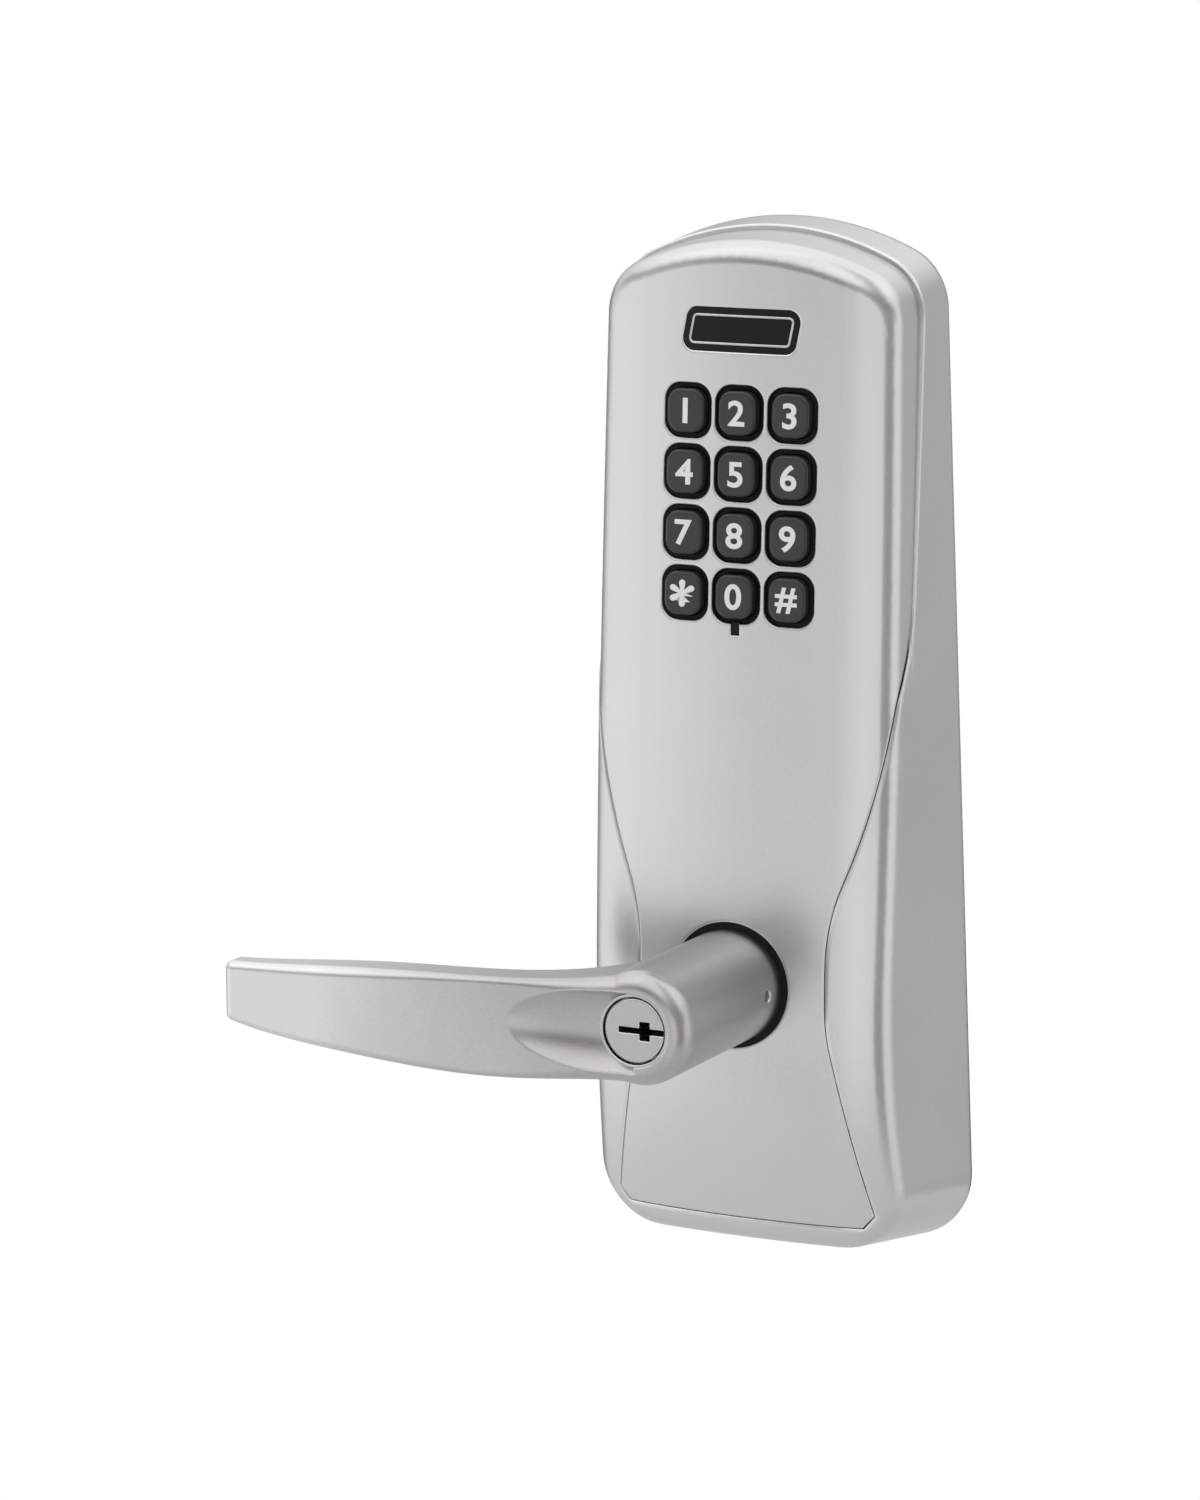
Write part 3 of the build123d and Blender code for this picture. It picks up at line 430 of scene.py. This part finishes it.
def sign_mesh(sign):
    """A bold sign as a thin solid about its own middle, and its height, in the font's units."""
    text = bpy.data.curves.new("sign", "FONT")
    text.body = sign
    text.offset = FONT_BOLDER
    text.extrude = FONT_DEPTH
    holder = add_to_scene("sign", text)
    bpy.context.view_layer.update()
    mesh = bpy.data.meshes.new_from_object(holder)
    bpy.data.objects.remove(holder)
    bpy.data.curves.remove(text)
    spans = [[v.co[side] for v in mesh.vertices] for side in (0, 1)]
    middle = [(min(span) + max(span)) / 2 for span in spans]
    mesh.transform(Matrix.Translation((-middle[0], -middle[1], 0.0)))
    return mesh, max(spans[1]) - min(spans[1])


digit_mesh, digit_height = sign_mesh("8")
bpy.data.meshes.remove(digit_mesh)
signs = [(digit, digit) for digit in "123456789"] + [("star", "*"), ("0", "0"), ("hash", "#")]
for number, (key_name, sign) in enumerate(signs):
    mesh, _ = sign_mesh(sign)
    across = (number % 3 - 1) * KEY_PITCH_X
    along = TOP_ROW - (number // 3) * KEY_PITCH_Y
    sag = CROWN_RADIUS - math.sqrt(CROWN_RADIUS**2 - across**2)
    scale = SIGN_HEIGHT / digit_height * (STAR_SCALE if sign == "*" else 1.0)
    spot = Matrix.Translation((across, along, CAP_PROUD - sag))
    size = Matrix.Diagonal((scale * SIGN_WIDEN, scale, INK / FONT_DEPTH, 1.0))
    mesh.transform(panel @ spot @ size)
    mesh.materials.clear()
    mesh.materials.append(ink_material)
    printed = add_to_scene(f"sign_{key_name}", mesh)
    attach(printed, f"push_{key_name}")
print(len(signs), "signs,", round(SIGN_HEIGHT * 1000, 2), "mm tall")

# %% [markdown]
# ## A pale floor
# The lock hangs on a door in use, so a sheet of pale paper lies well below it and sends light up to
# its underside. A round sheet would show its rim against the white, so it fades into plain white
# towards the rim: wholly for rays from the camera, and by a quarter for rays from gloss.

# %% Floor
FLOOR_LEVEL = -0.45
FLOOR_RADIUS = 0.9
FLOOR_SIDES = 96
FADE_START = 0.30
FADE_END = 0.88
GLOSS_SHARE = 0.25
FIBRE_SCALE = 300.0
WHITE = (1, 1, 1, 1)


def ray_kinds(tree):
    """One for rays from the camera, and one for rays from gloss and through glass."""
    names = [f"Is {kind} Ray" for kind in ("Camera", "Glossy", "Transmission")]
    eye, gloss, glass = [Wire.node(tree, "ShaderNodeLightPath", output=name) for name in names]
    return eye, gloss.above(glass)


shape = bmesh.new()
bmesh.ops.create_circle(shape, cap_ends=True, segments=FLOOR_SIDES, radius=FLOOR_RADIUS)
floor_mesh = bpy.data.meshes.new("floor")
shape.to_mesh(floor_mesh)
shape.free()
middle = (0.0, 0.0, FLOOR_LEVEL)
floor_mesh.transform(Matrix.Translation(middle))
floor = add_to_scene("floor", floor_mesh)

floor_material, tree, place = new_material("floor_paper")
fibre = noise(tree, place, FIBRE_SCALE, 3.0)
paper_colour = mix_colour(tree, fibre, (0.65, 0.65, 0.65, 1), (0.71, 0.71, 0.71, 1))
paper = Wire.node(tree, "ShaderNodeBsdfDiffuse", None, {"Color": paper_colour})
glow = Wire.node(tree, "ShaderNodeEmission", None, {"Color": WHITE, "Strength": 1.0})
settings = {"operation": "DISTANCE"}
apart = Wire.node(tree, "ShaderNodeVectorMath", settings, {0: place, 1: middle}, output=1)
from_camera, from_gloss = ray_kinds(tree)
share = from_camera.above(from_gloss * GLOSS_SHARE) * soft_step(tree, apart, FADE_START, FADE_END)
mixed = Wire.node(tree, "ShaderNodeMixShader", None, {0: share, 1: paper, 2: glow})
Wire.node(tree, "ShaderNodeOutputMaterial", None, {"Surface": mixed})
floor_mesh.materials.append(floor_material)
print("floor", floor.name, "at", FLOOR_LEVEL)

# %% [markdown]
# ## The room
# Satin metal has little colour of its own: what it shows is the room. A photographer would stand
# white and grey boards round the lock. Here the world does that, for rays from gloss only: upright
# strips at set angles and bands at set heights, each lighter or darker than a plain wall. The
# camera sees pure white, and matt surfaces get one even light. Lamps could do it too, but each
# would show in the metal as a patch with hard sides.

# %% Room
SOFT_LIGHT = 0.72
WALL = 0.86
# Degrees to the right of straight in front, half the even width, half the whole width, amount.
STRIPS = {
    "left_light": (-56.0, 8.0, 28.0, 0.16),
    "front_shade": (-14.0, 5.0, 16.0, 0.10),
    "front_light": (8.0, 4.0, 12.0, 0.12),
    "dark_post": (46.0, 10.0, 26.0, 0.48),
    "side_light": (96.0, 12.0, 30.0, 0.08),
    "far_side": (150.0, 30.0, 54.0, 0.14),
    "left_post": (-130.0, 22.0, 46.0, 0.36),
}
BAND_SHADE = 0.54
BACK_SHADE = 0.20
GROUND_SHADE = 0.20
ROOF_LIGHT = 0.28
# Cosines of the angle from the camera's line where the white patch begins and where it is full.
PATCH = (0.972, 0.985)

world = bpy.data.worlds.new("soft_room")
scene.world = world
world.use_nodes = True
tree = world.node_tree
tree.nodes.clear()
way = Wire.node(tree, "ShaderNodeTexCoord")
deep = Wire.node(tree, "ShaderNodeSeparateXYZ", None, {0: way}, output=1)
height = Wire.node(tree, "ShaderNodeSeparateXYZ", None, {0: way}, output=2)
level_only = {0: way, 1: (1, 1, 0)}
level_way = Wire.node(tree, "ShaderNodeVectorMath", {"operation": "MULTIPLY"}, level_only)
compass = Wire.node(tree, "ShaderNodeVectorMath", {"operation": "NORMALIZE"}, {0: level_way})


def strip(name):
    """An upright strip of the room, as an amount to add to the wall or take from it."""
    angle, core, edge, amount = STRIPS[name]
    turn = math.radians(angle)
    near = closeness(tree, compass, (math.sin(turn), -math.cos(turn), 0.0))
    limits = [math.cos(math.radians(side)) for side in (edge, core)]
    return soft_step(tree, near, *limits) * amount


def rise(start, end):
    """Nought below one height and one above the other; heights are sines of the angle up."""
    return soft_step(tree, height, start, end)


low_down = 1.0 - rise(0.0, 0.24)
not_high = 1.0 - rise(0.26, 0.50)
in_front = 1.0 - soft_step(tree, deep, -0.35, 0.10)
behind = soft_step(tree, deep, 0.10, 0.60)
grey_band = (rise(0.05, 0.15) - rise(0.32, 0.48)) * in_front * BAND_SHADE
ground = (1.0 - rise(-0.60, -0.24)) * GROUND_SHADE
roof = rise(0.46, 0.66) * ROOF_LIGHT
side_light = strip("side_light") * rise(-0.30, 0.0)

lights = strip("left_light") + strip("front_light") + side_light + roof
front_shades = strip("dark_post").above(grey_band) + strip("front_shade")
far_shades = strip("left_post") * low_down + (strip("far_side") + behind * BACK_SHADE) * not_high
wall = WALL + lights - front_shades - far_shades - ground
patch = soft_step(tree, closeness(tree, way, tuple(ahead)), *PATCH)
seen_in_gloss = wall + (1.0 - wall) * patch

from_camera, from_gloss = ray_kinds(tree)
matt = 1.0 - from_camera.above(from_gloss)
strength = from_camera + seen_in_gloss * from_gloss + matt * SOFT_LIGHT
room = Wire.node(tree, "ShaderNodeBackground", None, {"Color": WHITE, "Strength": strength})
Wire.node(tree, "ShaderNodeOutputWorld", None, {"Surface": room})
print("world", world.name, "with", len(STRIPS), "strips")

# %% [markdown]
# ## Lamps
# Two broad lamps, above and to the left, give the dark plastics and the floor a lit side, which an
# even room can't do. They are hidden from gloss, because the room already holds all that the metal
# should show.

# %% Lamps
LAMP_TARGET = Vector((0.0, 0.0, 0.05))


def soft_lamp(name, place, size, power):
    """A broad square lamp that looks at the lock."""
    data = bpy.data.lights.new(name, "AREA")
    data.shape = "SQUARE"
    data.size = size
    data.energy = power
    lamp = add_to_scene(name, data)
    lamp.location = place
    lamp.rotation_euler = (LAMP_TARGET - Vector(place)).to_track_quat("-Z", "Y").to_euler()
    lamp.visible_glossy = False
    return lamp


lamps = [
    soft_lamp("over_lamp", (-0.55, -0.25, 1.25), size=0.8, power=6.0),
    soft_lamp("left_lamp", (-1.2, -0.9, 0.5), size=0.7, power=3.0),
]
print("lamps", [lamp.name for lamp in lamps])
